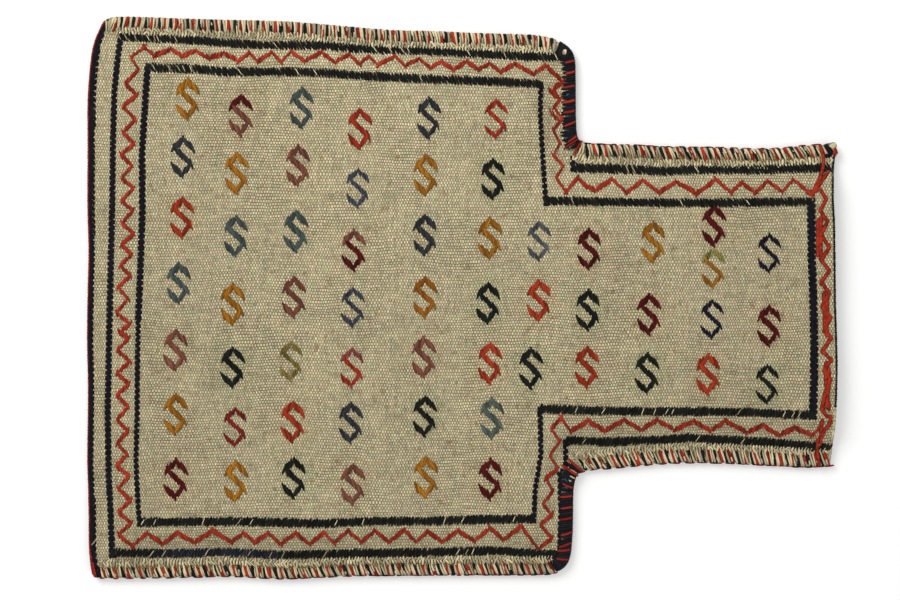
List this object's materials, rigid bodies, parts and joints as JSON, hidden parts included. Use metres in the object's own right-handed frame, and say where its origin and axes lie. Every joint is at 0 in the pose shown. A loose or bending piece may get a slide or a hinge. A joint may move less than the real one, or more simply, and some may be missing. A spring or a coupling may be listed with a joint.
{
  "type": "kilim salt bag",
  "caption": "Flat-woven wool bag shaped like a bottle: wide square pouch, narrower neck with an open mouth, hook motifs in a zigzag border, overcast seams.",
  "frame": {"origin": "middle of the bag's box on the surface that its back lies on", "axes": "+X from the folded bottom to the open mouth, +Y to the bag's left side seen with the neck up, +Z out of the front"},
  "size_m": [0.526, 0.3923, 0.0137],
  "materials": {
    "cloth": "undyed ivory wool, balanced plain weave with coloured hook motifs",
    "stitch_yarn": "ivory, red and navy wool in alternating overcast stitches",
    "ivory_yarn": "ivory wool, plaited stitches",
    "navy_yarn": "navy wool",
    "black_yarn": "black-green wool, wrapped",
    "red_yarn": "madder red wool"
  },
  "bodies": {
    "root": {"cloth": "cloth", "fold_band": "navy_yarn", "side_seam_left": "stitch_yarn", "side_seam_right": "stitch_yarn", "neck_seam_left": "stitch_yarn", "neck_seam_right": "stitch_yarn", "shoulder_binding_left": "navy_yarn", "shoulder_binding_right": "navy_yarn", "side_braid_left": "ivory_yarn", "side_braid_right": "ivory_yarn", "neck_braid_left": "ivory_yarn", "neck_braid_right": "ivory_yarn", "outer_line": "black_yarn", "neck_line_left": "black_yarn", "neck_line_right": "black_yarn", "inner_line": "black_yarn", "border_zigzag": "red_yarn", "mouth_zigzag": "red_yarn", "mouth_edging": "navy_yarn"}
  },
  "joints": []
}
